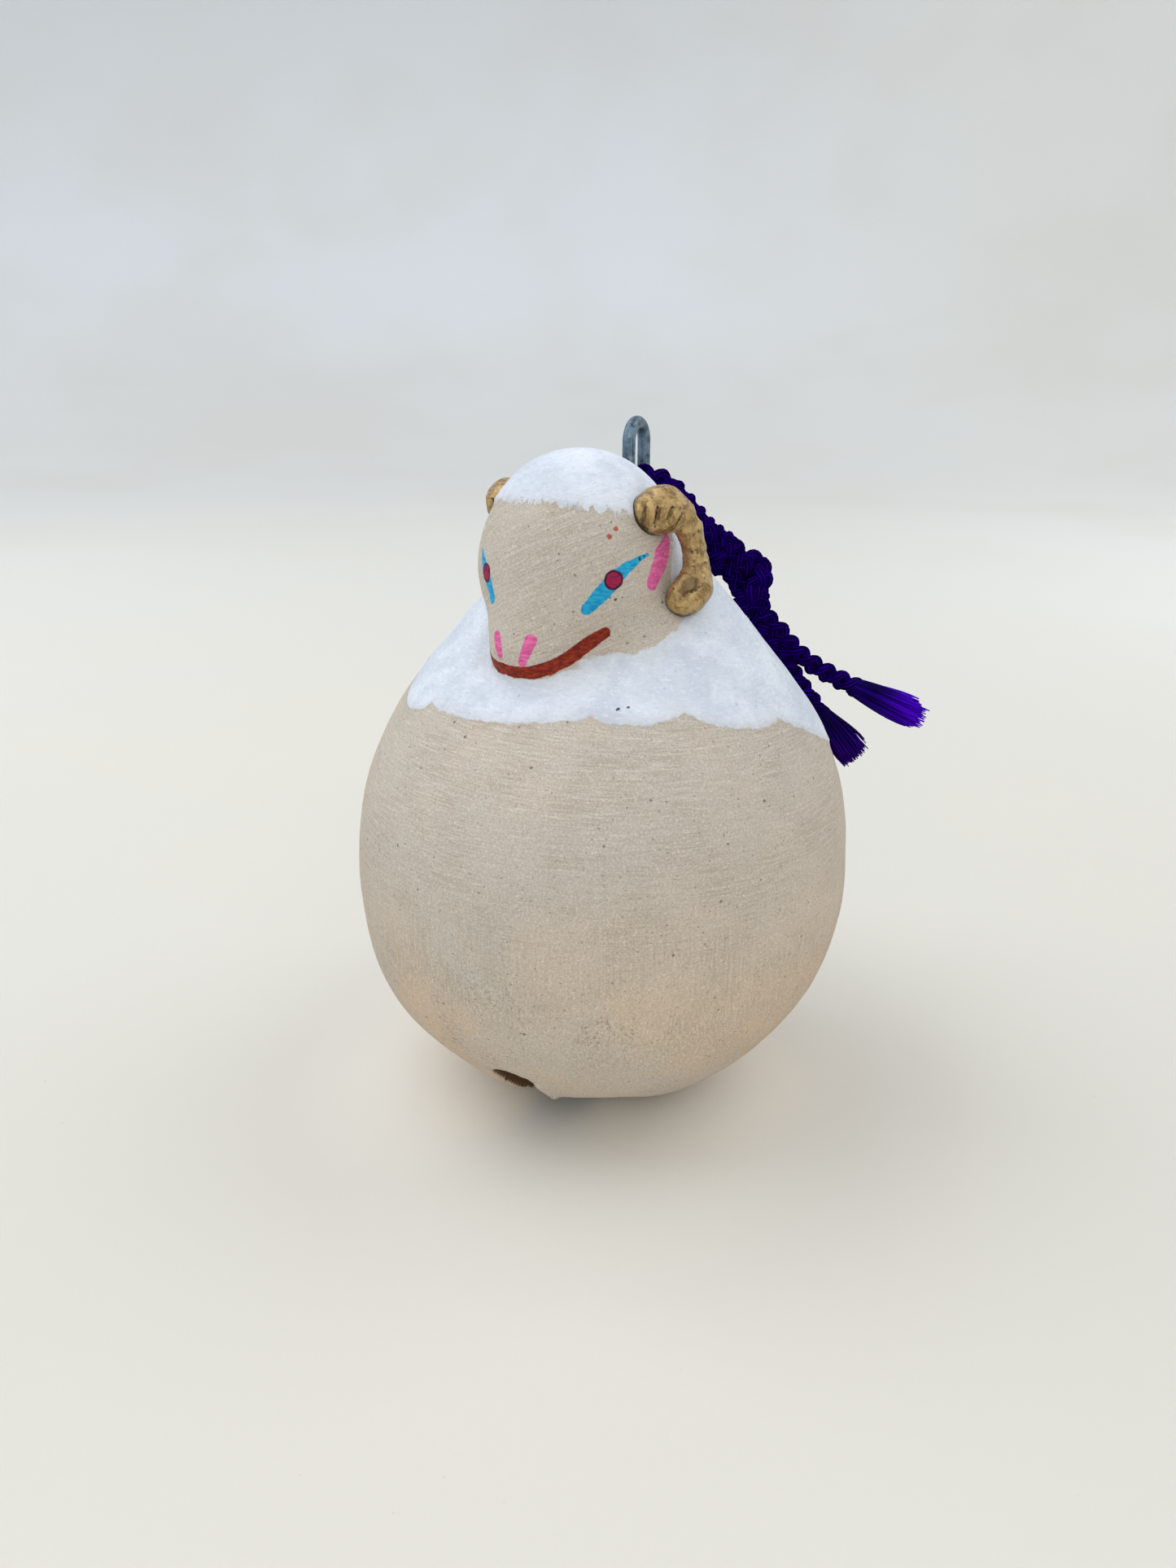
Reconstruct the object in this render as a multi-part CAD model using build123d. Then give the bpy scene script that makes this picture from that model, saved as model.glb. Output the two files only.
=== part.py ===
from build123d import *
import math
import os

os.makedirs("parts", exist_ok=True)

# ---- driving dimensions, millimetres ------------------------------------------------
BODY_MAX_D = 60.0        # widest diameter of the belly, sets the scale of everything
FOOT_R = 9.8             # flat it stands on
# belly, shoulder and neck: height, half width (X), half depth (Y), centre Y
SECTIONS = [
    (0.0, FOOT_R, FOOT_R, 0.0),
    (2.0, 13.7, 13.7, 0.0),
    (5.0, 17.8, 17.8, 0.0),
    (10.0, 22.7, 22.7, 0.0),
    (16.5, 27.2, 27.2, 0.0),
    (24.5, 29.6, 29.6, 0.0),
    (32.5, BODY_MAX_D / 2, 29.9, 0.0),
    (42.0, 28.6, 27.6, 0.1),
    (50.0, 25.6, 22.7, 0.6),
    (58.0, 20.1, 15.2, 1.2),
    (65.8, 12.8, 9.6, 1.6),
    (71.2, 7.4, 6.2, 1.6),
    (74.0, 3.4, 3.0, 1.6),
]
CROWN = (0.0, -4.3, 68.6)    # centre of the round crown of the head
CROWN_R = 10.95
MUZZLE = (0.0, -12.5, 58.9)  # centre of the muzzle end of the head
MUZZLE_R = 5.3
JAW_BLEND_R = 2.0            # soft inside corner where head and neck meet

BOWL_R = 26.7                # spherical inside of the belly
BOWL_Z = 30.2                # its centre, also the axis the pellet rolls round
CAVITY_TOP_Z = 61.0
SLOT_W = 4.6                 # sound slot under the belly, running front to back
SLOT_LEN = 46.0
SLOT_TOP_Z = 18.0

PELLET_R = 5.0
RUN_GAP = 0.3                # clearance of the pellet over the bowl

WIRE_D = 1.5
WIRE_CC = 4.2                # leg to leg of the wire eye
WIRE_C = (0.5, 5.9)          # middle of the eye, X and Y
WIRE_TURN = 9.4              # eye turned this much off the middle plane, degrees
WIRE_TOP_Z = 81.5            # centre line at the top of the bend
WIRE_FOOT_Z = 65.5           # blind ends set in the clay

CORD_D = 2.4
TUFT_L = 8.5

# horn, left: centre line and radius of the thin part, then the lumps at its two ends
HORN = [
    (10.9, -4.5, 73.6, 1.60),
    (12.2, -3.2, 72.8, 1.65),
    (12.9, -2.3, 71.3, 1.50),
    (13.2, -1.9, 69.7, 1.40),
    (13.4, -1.8, 68.0, 1.50),
    (13.5, -2.3, 66.5, 1.75),
    (13.4, -3.2, 65.2, 1.85),
]
HORN_LUMPS = [
    (10.2, -5.4, 73.2, 2.40),
    (11.0, -4.5, 73.5, 2.55),
    (13.3, -3.3, 65.0, 2.50),
    (13.0, -4.4, 64.2, 2.20),
]

# cord: middle of the bight in the eye, then each leg to inside the knot
EYE_MID = (0.50, 5.90, 75.70)
LEG_LEFT = [EYE_MID, (3.66, 6.42, 75.70), (5.70, 8.70, 72.60), (7.00, 11.60, 69.30),
            (8.10, 14.80, 66.20)]
LEG_RIGHT = [EYE_MID, (-3.64, 5.215, 75.70), (-5.90, 8.30, 74.00), (-3.50, 11.80, 70.90),
             (1.30, 14.60, 68.20), (5.70, 17.00, 65.90)]
KNOT_C = (9.20, 18.50, 61.70)
KNOT_TOP = (6.80, 16.30, 66.80)
KNOT_R = 4.3
KNOT_HALF = 6.6
# free ends, from inside the knot to where the fringe starts
END_OUT = [(11.40, 20.90, 58.40), (14.70, 22.30, 54.90), (18.20, 23.70, 51.00),
           (22.00, 26.20, 48.70)]
END_DOWN = [(10.10, 18.90, 56.90), (12.90, 20.80, 53.20), (15.30, 22.00, 49.20),
            (18.20, 22.30, 45.80)]
TUFT_OUT_TIP = (27.00, 29.00, 45.60)
TUFT_DOWN_TIP = (22.40, 22.40, 40.80)


def section(z, a, b, yc):
    # a hair off a true circle, so every section is the same kind of curve
    return Plane(origin=(0, yc, z)) * Ellipse(a, b * 0.99999)


def belly():
    return loft([section(*s) for s in SECTIONS])


def head():
    """Two spheres and the cone tangent to both, turned about the face axis."""
    c0, c1 = Vector(*CROWN), Vector(*MUZZLE)
    axis = c1 - c0
    length = axis.length
    s = (CROWN_R - MUZZLE_R) / length
    c = math.sqrt(1 - s * s)
    plane = Plane(origin=c0, x_dir=axis.normalized(), z_dir=(1, 0, 0))
    back = math.radians(50)
    tip = math.atan2(c, s) / 2
    with BuildSketch(plane) as sk:
        with BuildLine():
            p1 = (CROWN_R * s, CROWN_R * c)
            p2 = (length + MUZZLE_R * s, MUZZLE_R * c)
            ThreePointArc((-CROWN_R, 0),
                          (-CROWN_R * math.cos(back), CROWN_R * math.sin(back)), p1)
            Line(p1, p2)
            ThreePointArc(p2, (length + MUZZLE_R * math.cos(tip),
                               MUZZLE_R * math.sin(tip)), (length + MUZZLE_R, 0))
            Line((length + MUZZLE_R, 0), (-CROWN_R, 0))
        make_face()
    return revolve(sk.sketch, axis=Axis(c0, axis.normalized()))


def outer_form():
    form = belly() + head()
    crease = [e for e in form.edges()
              if e.geom_type == GeomType.BSPLINE and e.center().Z > 50 and e.length < 40]
    return fillet(crease, JAW_BLEND_R)


def cavity():
    """Spherical bowl up to the shoulder, then drawn in to a closed crown."""
    z1 = 44.0
    r1 = math.sqrt(BOWL_R ** 2 - (z1 - BOWL_Z) ** 2)
    t1 = (-(z1 - BOWL_Z), r1)
    with BuildSketch(Plane.XZ) as sk:
        with BuildLine():
            ThreePointArc((0, BOWL_Z - BOWL_R), (BOWL_R, BOWL_Z), (r1, z1))
            Spline((r1, z1), (17.4, 50.6), (9.0, 58.4), (0, CAVITY_TOP_Z),
                   tangents=[t1, (-1, 0)])
            Line((0, CAVITY_TOP_Z), (0, BOWL_Z - BOWL_R))
        make_face()
    return revolve(sk.sketch, axis=Axis.Z)


def slot():
    flat = SlotOverall(SLOT_LEN, SLOT_W, rotation=90)
    return extrude(Plane(origin=(0, 0, -1)) * flat, amount=SLOT_TOP_Z + 1)


def wire_eye():
    t = math.radians(WIRE_TURN)
    hx, hy = -math.sin(t), math.cos(t)
    half = WIRE_CC / 2

    def at(side, z):
        return (WIRE_C[0] + side * half * hx, WIRE_C[1] + side * half * hy, z)

    bend_z = WIRE_TOP_Z - half
    with BuildLine() as path:
        Line(at(-1, WIRE_FOOT_Z), at(-1, bend_z))
        ThreePointArc(at(-1, bend_z), (WIRE_C[0], WIRE_C[1], WIRE_TOP_Z), at(1, bend_z))
        Line(at(1, bend_z), at(1, WIRE_FOOT_Z))
    start = Plane(origin=at(-1, WIRE_FOOT_Z), z_dir=(0, 0, 1))
    return sweep(start * Circle(WIRE_D / 2), path=path.wire())


def horn_left():
    pts = [Vector(*p[:3]) for p in HORN]
    rings = []
    for i, p in enumerate(pts):
        along = (pts[min(i + 1, len(pts) - 1)] - pts[max(i - 1, 0)]).normalized()
        side = (Vector(1, 0, 0) - along * along.X).normalized()
        rings.append(Plane(origin=p, z_dir=along, x_dir=side) * Circle(HORN[i][3]))
    coil = loft(rings)
    for x, y, z, r in HORN_LUMPS:
        coil += Pos(x, y, z) * Sphere(r)
    return coil


def fillet_radii(points):
    """Bend radius at every inner corner from the two runs and the turn."""
    out = []
    for a, b, c in zip(points, points[1:], points[2:]):
        u, v = Vector(*b) - Vector(*a), Vector(*c) - Vector(*b)
        turn = math.radians(u.get_angle(v))
        out.append(0.45 * min(u.length, v.length) / math.tan(turn / 2))
    return out


def route(name, points):
    radii = fillet_radii(points)
    line = FilletPolyline(*points, radius=radii)
    print(name, "length", round(line.length, 2), "radii", [round(r, 2) for r in radii])
    return line


def tube(name, points):
    line = route(name, points)
    start = Plane(origin=line @ 0, z_dir=line % 0)
    solid = sweep(start * Circle(CORD_D / 2), path=line)
    print("   volume over section x length",
          round(solid.volume / (math.pi * CORD_D ** 2 / 4 * line.length), 4))
    return solid


def knot_form():
    axis = (Vector(*KNOT_TOP) - Vector(*KNOT_C)).normalized()
    plane = Plane(origin=KNOT_C, x_dir=axis, z_dir=axis.cross(Vector(1, 0, 0.3)).normalized())
    return plane.location * scale(Sphere(1.0), by=(KNOT_HALF, KNOT_R, KNOT_R))


def tuft(start, before, tip, wide, thick):
    """Combed-out end of the cord: round where it leaves the braid, flat at the tip."""
    s, b, t = Vector(*start), Vector(*before), Vector(*tip)
    first = (s - b).normalized()
    last = (t - s).normalized()
    side = last.cross(Vector(0, 0, 1)).normalized()
    mid = s + (t - s) * 0.45
    return loft([
        Plane(origin=s, z_dir=first, x_dir=side) * Ellipse(CORD_D / 2, CORD_D / 2 * 0.9999),
        Plane(origin=mid, z_dir=last, x_dir=side) * Ellipse(wide * 0.62, thick * 0.8),
        Plane(origin=t, z_dir=last, x_dir=side) * Ellipse(wide, thick),
    ])


# ---- clay ---------------------------------------------------------------------------
form = outer_form()
wire = wire_eye()
shell = form - cavity() - slot() - wire
middle = Plane.XZ        # the two pressed halves are luted together on this plane
front = split(shell, bisect_by=middle, keep=Keep.TOP)
back = split(shell, bisect_by=middle, keep=Keep.BOTTOM)
left = horn_left() - form
right = mirror(left, about=Plane.YZ)
pellet = Pos(0, 0, BOWL_Z - BOWL_R + RUN_GAP + PELLET_R) * Sphere(PELLET_R)

# ---- cord ---------------------------------------------------------------------------
leg_left = tube("cord_leg_left", LEG_LEFT)
leg_right = tube("cord_leg_right", LEG_RIGHT)
end_out = tube("cord_end_out", END_OUT)
end_down = tube("cord_end_down", END_DOWN)
knot = knot_form() - leg_left - leg_right - end_out - end_down
tuft_out = tuft(END_OUT[-1], END_OUT[-2], TUFT_OUT_TIP, 3.2, 1.7)
tuft_down = tuft(END_DOWN[-1], END_DOWN[-2], TUFT_DOWN_TIP, 3.0, 1.5)

nodes = {
    "body_shell_front": front,
    "body_shell_back": back,
    "horn_left": left,
    "horn_right": right,
    "wire_eye": wire,
    "clay_pellet": pellet,
    "cord_leg_left": leg_left,
    "cord_leg_right": leg_right,
    "cord_knot": knot,
    "cord_end_out": end_out,
    "cord_end_down": end_down,
    "cord_tuft_out": tuft_out,
    "cord_tuft_down": tuft_down,
}
for name, shape in nodes.items():
    solids = shape.solids()
    print(name, "solids", len(solids), "volume", round(sum(s.volume for s in solids), 1))
    export_step(solids[0] if len(solids) == 1 else Compound(solids), f"parts/{name}.step")
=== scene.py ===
import bpy
import math
import numpy as np
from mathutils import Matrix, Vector


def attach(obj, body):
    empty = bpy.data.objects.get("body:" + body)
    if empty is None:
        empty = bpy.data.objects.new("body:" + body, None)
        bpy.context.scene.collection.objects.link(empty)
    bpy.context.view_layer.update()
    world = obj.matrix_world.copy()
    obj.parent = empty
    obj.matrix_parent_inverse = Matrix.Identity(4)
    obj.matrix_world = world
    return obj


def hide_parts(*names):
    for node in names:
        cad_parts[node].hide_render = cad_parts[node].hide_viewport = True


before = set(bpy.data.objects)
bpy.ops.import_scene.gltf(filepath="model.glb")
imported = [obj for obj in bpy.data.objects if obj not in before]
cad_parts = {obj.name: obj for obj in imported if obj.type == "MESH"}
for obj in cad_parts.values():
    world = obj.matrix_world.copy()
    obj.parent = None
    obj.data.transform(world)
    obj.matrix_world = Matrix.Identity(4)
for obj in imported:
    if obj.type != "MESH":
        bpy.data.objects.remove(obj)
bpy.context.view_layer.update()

MM = 0.001
scene = bpy.context.scene
scene.view_settings.view_transform = "Standard"

# ------------------------------------------------------------------ camera
AZ, EL, DIST = math.radians(36.0), math.radians(20.0), 0.14508
AIM = Vector((-0.00139, -0.00101, 0.03905))
back = Vector((math.sin(AZ) * math.cos(EL), -math.cos(AZ) * math.cos(EL), math.sin(EL)))
cam_data = bpy.data.cameras.new("camera")
cam_data.sensor_width, cam_data.lens = 36.0, 27.01
cam_data.clip_start, cam_data.clip_end = 0.01, 20.0
camera = bpy.data.objects.new("camera", cam_data)
camera.location = AIM + back * DIST
camera.rotation_mode = "QUATERNION"
camera.rotation_quaternion = (-back).to_track_quat("-Z", "Y")
scene.collection.objects.link(camera)
scene.camera = camera


# ------------------------------------------------------------------ small tools
def mesh_object(name, verts, faces, attributes=None):
    """A smooth-shaded object; verts in millimetres, attributes one value per vertex."""
    me = bpy.data.meshes.new(name)
    me.from_pydata((np.asarray(verts, float) * MM).tolist(), [],
                   faces if isinstance(faces, list) else faces.tolist())
    me.update()
    me.shade_smooth()
    for key, values in (attributes or {}).items():
        me.attributes.new(key, "FLOAT", "POINT").data.foreach_set(
            "value", np.asarray(values, np.float32))
    ob = bpy.data.objects.new(name, me)
    scene.collection.objects.link(ob)
    return ob


class Nodes:
    """One material, built up from short calls. Positions inside it are in millimetres."""

    def __init__(self, name, **shader):
        self.mat = bpy.data.materials.new(name)
        self.mat.use_nodes = True
        self.tree = self.mat.node_tree
        self.tree.nodes.clear()
        self.out = self.tree.nodes.new("ShaderNodeOutputMaterial")
        self.bsdf = self.tree.nodes.new("ShaderNodeBsdfPrincipled")
        self.tree.links.new(self.bsdf.outputs[0], self.out.inputs[0])
        for key, value in shader.items():
            self.bsdf.inputs[key.replace("_", " ")].default_value = value
        coords = self.tree.nodes.new("ShaderNodeTexCoord")
        self.pos = self.vec("MULTIPLY", coords.outputs["Object"], (1000, 1000, 1000))

    def _set(self, socket, value):
        if isinstance(value, bpy.types.NodeSocket):
            self.tree.links.new(value, socket)
        elif value is not None:
            socket.default_value = value

    def math(self, op, a, b=None, c=None, clamp=False):
        n = self.tree.nodes.new("ShaderNodeMath")
        n.operation, n.use_clamp = op, clamp
        for socket, value in zip(n.inputs, (a, b, c)):
            self._set(socket, value)
        return n.outputs[0]

    def vec(self, op, a, b=None):
        n = self.tree.nodes.new("ShaderNodeVectorMath")
        n.operation = op
        self._set(n.inputs[0], a)
        if b is not None:
            self._set(n.inputs["Scale"] if op == "SCALE" else n.inputs[1], b)
        return n.outputs["Value" if op in ("LENGTH", "DOT_PRODUCT") else "Vector"]

    def noise(self, vector, scale, detail=2.0, rough=0.5, warp=0.0, color=False):
        n = self.tree.nodes.new("ShaderNodeTexNoise")
        self._set(n.inputs["Vector"], vector)
        n.inputs["Scale"].default_value = scale
        n.inputs["Detail"].default_value = detail
        n.inputs["Roughness"].default_value = rough
        n.inputs["Distortion"].default_value = warp
        return n.outputs["Color" if color else "Fac"]

    def cells(self, vector, scale):
        n = self.tree.nodes.new("ShaderNodeTexVoronoi")
        self._set(n.inputs["Vector"], vector)
        n.inputs["Scale"].default_value = scale
        return n.outputs["Distance"], n.outputs["Color"]

    def step(self, value, low, high, a=0.0, b=1.0):
        n = self.tree.nodes.new("ShaderNodeMapRange")
        n.interpolation_type = "SMOOTHSTEP"
        self._set(n.inputs["Value"], value)
        for key, v in (("From Min", low), ("From Max", high), ("To Min", a), ("To Max", b)):
            n.inputs[key].default_value = v
        return n.outputs["Result"]

    def mix(self, fac, a, b):
        n = self.tree.nodes.new("ShaderNodeMix")
        n.data_type = "RGBA"
        self._set(n.inputs[0], fac)
        self._set(n.inputs[6], a)
        self._set(n.inputs[7], b)
        return n.outputs[2]

    def attribute(self, name):
        n = self.tree.nodes.new("ShaderNodeAttribute")
        n.attribute_name = name
        return n.outputs["Fac"]

    def split(self, vector):
        n = self.tree.nodes.new("ShaderNodeSeparateXYZ")
        self._set(n.inputs[0], vector)
        return n.outputs[0], n.outputs[1], n.outputs[2]

    def join(self, x, y, z):
        n = self.tree.nodes.new("ShaderNodeCombineXYZ")
        for socket, value in zip(n.inputs, (x, y, z)):
            self._set(socket, value)
        return n.outputs[0]

    def stroke(self, p, a, b, ra, rb):
        """How far p is outside a brush stroke from a to b whose half width goes ra to rb."""
        a, b = Vector(a), Vector(b)
        ab = b - a
        pa = self.vec("SUBTRACT", p, tuple(a))
        h = self.math("DIVIDE", self.vec("DOT_PRODUCT", pa, tuple(ab)), ab.length_squared,
                      clamp=True)
        along = self.vec("SCALE", tuple(ab), h)
        d = self.vec("LENGTH", self.vec("SUBTRACT", pa, along))
        return self.math("SUBTRACT", d, self.math("MULTIPLY_ADD", h, rb - ra, ra))

    def union(self, *distances):
        d = distances[0]
        for other in distances[1:]:
            d = self.math("MINIMUM", d, other)
        return d

    def finish(self, color, rough, height=None, strength=1.0, distance=0.0001):
        self._set(self.bsdf.inputs["Base Color"], color)
        self._set(self.bsdf.inputs["Roughness"], rough)
        if height is not None:
            n = self.tree.nodes.new("ShaderNodeBump")
            n.inputs["Strength"].default_value = strength
            n.inputs["Distance"].default_value = distance
            self._set(n.inputs["Height"], height)
            self.tree.links.new(n.outputs[0], self.bsdf.inputs["Normal"])
        return self.mat


def rgb(r, g, b):
    """Display colour, 0 to 255, as the linear value that the shader takes."""
    out = []
    for v in (r, g, b):
        v /= 255.0
        out.append(v / 12.92 if v <= 0.04045 else ((v + 0.055) / 1.055) ** 2.4)
    return (*out, 1.0)


def put(ob, mat):
    ob.data.materials.clear()
    ob.data.materials.append(mat)
    return ob


# ------------------------------------------------------------------ cord
BRAID_LAY = 4.1         # length of one turn of a strand
STRAND_SIDES = 9
TUFT_RINGS, TUFT_SIDES = 8, 5
EYE_MID = (0.50, 5.90, 75.70)
LEG_LEFT = [EYE_MID, (3.66, 6.42, 75.70), (5.70, 8.70, 72.60), (7.00, 11.60, 69.30)]
LEG_RIGHT = [EYE_MID, (-3.64, 5.215, 75.70), (-5.90, 8.30, 74.00), (-3.50, 11.80, 70.90),
             (1.30, 14.60, 68.20)]
KNOT_C = Vector((9.20, 18.50, 61.70))
KNOT_TOP = Vector((6.80, 16.30, 66.80))
END_OUT = [(11.80, 20.30, 57.30), (14.30, 21.50, 53.75), (17.10, 23.40, 51.20),
           (21.20, 25.90, 49.00)]
END_DOWN = [(10.20, 18.60, 57.00), (12.90, 20.80, 53.20), (15.30, 22.00, 49.20),
            (18.30, 22.40, 45.70)]
TUFT_OUT_TIP = (27.60, 29.60, 45.90)
TUFT_DOWN_TIP = (22.80, 22.90, 41.30)

# the knot is tied in both strands at once: (height up the knot, distance from its middle,
# direction round it in degrees), from the top of the knot to the bottom
KNOT_W = (KNOT_TOP - KNOT_C).normalized()
KNOT_U = Vector((0.75, -0.45, 0.35))
KNOT_U = (KNOT_U - KNOT_W * KNOT_U.dot(KNOT_W)).normalized()
KNOT_V = KNOT_W.cross(KNOT_U)
KNOT_A = [(6.0, 0.9, 20), (2.4, 0.9, 60), (-1.8, 1.6, 100), (-2.8, 2.5, 150), (-2.1, 2.8, 215),
          (-0.9, 2.9, 280), (0.3, 2.9, 345), (1.5, 2.9, 50), (2.8, 2.9, 115),
          (4.1, 2.2, 175), (3.0, 0.8, 230), (-2.6, 1.2, 250)]
KNOT_B = [(6.8, 1.0, 200), (3.6, 0.9, 240), (0.2, 1.8, 285), (-0.5, 2.7, 330), (0.6, 2.9, 35),
          (1.9, 2.9, 100), (3.2, 3.0, 165), (4.5, 3.1, 230), (5.8, 3.0, 290),
          (6.8, 1.9, 350), (5.2, 0.8, 60), (-2.4, 1.1, 90)]


def knot_point(w, r, turn):
    t = math.radians(turn)
    return tuple(KNOT_C + KNOT_W * w + (KNOT_U * math.cos(t) + KNOT_V * math.sin(t)) * r)


def spline_points(name, points):
    """The smooth line of a route, as points in millimetres."""
    curve = bpy.data.curves.new(name, "CURVE")
    curve.dimensions = "3D"
    line = curve.splines.new("NURBS")
    line.points.add(len(points) - 1)
    for p, co in zip(line.points, points):
        p.co = (*(Vector(co) * MM), 1.0)
    line.order_u = 3
    line.use_endpoint_u = True
    line.resolution_u = 24
    ob = bpy.data.objects.new(name, curve)
    scene.collection.objects.link(ob)
    me = bpy.data.meshes.new_from_object(ob)
    out = np.array([v.co for v in me.vertices], float) / MM
    bpy.data.objects.remove(ob)
    bpy.data.meshes.remove(me)
    return out


def even(points, pitch):
    """The same line read off at equal steps."""
    d = np.concatenate([[0], np.cumsum(np.linalg.norm(np.diff(points, axis=0), axis=1))])
    keep = np.concatenate([[True], np.diff(d) > 1e-6])
    d, points = d[keep], points[keep]
    s = np.linspace(0, d[-1], max(8, int(round(d[-1] / pitch)) + 1))
    return s, np.stack([np.interp(s, d, points[:, k]) for k in range(3)], 1)


def frames(points):
    """Tangents, and two directions across the line that don't spin."""
    t = np.gradient(points, axis=0)
    t /= np.linalg.norm(t, axis=1)[:, None]
    u = np.zeros_like(t)
    start = np.cross(t[0], (0.3, 0.2, 1.0))
    u[0] = start / np.linalg.norm(start)
    for i in range(1, len(t)):
        v = u[i - 1] - t[i] * (u[i - 1] @ t[i])
        u[i] = v / np.linalg.norm(v)
    return t, u, np.cross(t, u)


def tube_mesh(points, radii, sides, phase=0.0):
    """Vertices and faces of a closed tube along points; radii one per point."""
    t, u, v = frames(points)
    a = np.linspace(0, 2 * math.pi, sides, endpoint=False) + phase
    ring = (u[:, None, :] * np.cos(a)[None, :, None]
            + v[:, None, :] * np.sin(a)[None, :, None])
    verts = points[:, None, :] + ring * np.asarray(radii)[:, None, None]
    n = len(points)
    i, j = np.meshgrid(np.arange(n - 1), np.arange(sides), indexing="ij")
    k = (j + 1) % sides
    faces = np.stack([i * sides + j, i * sides + k, (i + 1) * sides + k, (i + 1) * sides + j], -1)
    faces = faces.reshape(-1, 4).tolist()
    faces.append(list(range(sides))[::-1])
    faces.append([(n - 1) * sides + q for q in range(sides)])
    return verts.reshape(-1, 3), faces


def braid(name, centre, slot_turn=0.0):
    """Four strands plaited round: two wind one way, two the other, over and under in turn."""
    s, c = even(centre, 0.2)
    t, u, v = frames(c)
    th = 2 * math.pi * s / BRAID_LAY
    verts, faces, along, across = [], [], [], []
    for k, (way, start) in enumerate(((1, 0), (1, math.pi), (-1, 0), (-1, math.pi))):
        ang = way * th + start + slot_turn
        over = way * np.cos(2 * th)
        r = 0.60 + 0.17 * over
        line = c + (u * np.cos(ang)[:, None] + v * np.sin(ang)[:, None]) * r[:, None]
        vv, ff = tube_mesh(line, 0.545 + 0.035 * over, STRAND_SIDES)
        base = sum(len(x) for x in verts)
        verts.append(vv)
        faces += [[q + base for q in f] for f in ff]
        along.append(np.repeat(s, STRAND_SIDES))
        across.append(np.tile(np.arange(STRAND_SIDES) / STRAND_SIDES, len(s)) + k)
    return mesh_object(name, np.vstack(verts), faces,
                       attributes={"along": np.concatenate(along),
                                   "across": np.concatenate(across)})


def cord_material():
    m = Nodes("purple_cord", Roughness=0.85, Specular_IOR_Level=0.0)
    along, across = m.attribute("along"), m.attribute("across")
    yarn = m.math("SINE", m.math("ADD", m.math("MULTIPLY", across, 2 * math.pi * 7.0),
                                 m.math("MULTIPLY", along, 3.4)))
    yarn01 = m.math("MULTIPLY_ADD", yarn, 0.5, 0.5)
    fibre = m.noise(m.join(m.math("MULTIPLY", across, 26.0), m.math("MULTIPLY", along, 0.8), 0.0),
                    1.0, 3.0, 0.6)
    patch = m.noise(m.pos, 0.22, 3.0, 0.6)
    deep = m.mix(m.step(patch, 0.35, 0.68), rgb(0, 0, 24), rgb(8, 0, 58))
    # painted highlight: lighter violet on the crests of the yarn, in place of a sheen
    lit = m.mix(m.math("MULTIPLY", yarn01, fibre), deep, rgb(60, 0, 166))
    # painted shade: near black in the gaps between fibres
    shade = m.mix(m.step(fibre, 0.25, 0.6), rgb(1, 0, 13), lit)
    height = m.math("ADD", m.math("MULTIPLY", yarn01, 0.6), m.math("MULTIPLY", fibre, 0.6))
    return m.finish(shade, m.step(fibre, 0.2, 0.8, 0.5, 0.75), height, 0.7, 0.00012)


CORD_MAT = cord_material()
route_a = LEG_LEFT + [knot_point(*k) for k in KNOT_A] + END_OUT
route_b = LEG_RIGHT + [knot_point(*k) for k in KNOT_B] + END_DOWN
line_a, line_b = spline_points("route_a", route_a), spline_points("route_b", route_b)


def line_length(points):
    return float(np.linalg.norm(np.diff(points, axis=0), axis=1).sum())


cord_a = put(braid("cord_strand_out", line_a), CORD_MAT)
cord_b = put(braid("cord_strand_down", line_b, 0.6), CORD_MAT)
print("cord lengths, mm", round(line_length(line_a), 2), round(line_length(line_b), 2))


def tuft(name, start, before, tip, wide, thick, seed, count=300):
    """Combed-out end of the braid: loose yarn that fans out, tied by nothing."""
    rng = np.random.default_rng(seed)
    s, b, t = (np.array(q, float) for q in (start, before, tip))
    first = (s - b) / np.linalg.norm(s - b)
    last = (t - s) / np.linalg.norm(t - s)
    side = np.cross(last, (0, 0, 1.0))
    side /= np.linalg.norm(side)
    up = np.cross(side, last)
    reach = np.linalg.norm(t - s)
    verts, faces, along, across = [], [], [], []
    base = 0
    for k in range(count):
        a, r = rng.uniform(0, 2 * math.pi), math.sqrt(rng.uniform(0.02, 1))
        x0, y0 = math.cos(a) * r, math.sin(a) * r
        p0 = s - first * 0.9 + side * x0 * 0.95 + up * y0 * 0.95
        p1 = s + first * reach * 0.22 + side * x0 * 1.75 + up * y0 * 1.45
        grow = rng.uniform(0.90, 1.10) + 0.05 * math.sin(5 * x0 + seed)
        wob = rng.normal(0, 0.20, 2)
        p3 = s + last * reach * grow + side * (x0 * wide + wob[0]) + up * (y0 * thick + wob[1])
        mid = (p1 * 0.45 + p3 * 0.55 + side * (x0 * 0.75 + rng.normal(0, 0.16))
               + up * (y0 * 0.3 + rng.normal(0, 0.12)))
        q = np.linspace(0, 1, TUFT_RINGS)[:, None]
        line = ((1 - q) ** 3 * p0 + 3 * (1 - q) ** 2 * q * p1 + 3 * (1 - q) * q ** 2 * mid
                + q ** 3 * p3)
        width = rng.uniform(0.11, 0.19)
        radii = width * np.array([1, 1, 1, 1, 1, 0.95, 0.8, 0.45])
        vv, ff = tube_mesh(line, radii, TUFT_SIDES, phase=rng.uniform(0, 6))
        verts.append(vv)
        faces += [[i + base for i in f] for f in ff]
        base += len(vv)
        along.append(np.repeat(np.linspace(0, reach, TUFT_RINGS), TUFT_SIDES))
        across.append(np.full(len(vv), k * 0.37)
                      + np.tile(np.arange(TUFT_SIDES) / 9.0, TUFT_RINGS))
    return mesh_object(name, np.vstack(verts), faces,
                       attributes={"along": np.concatenate(along),
                                   "across": np.concatenate(across)})


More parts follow.
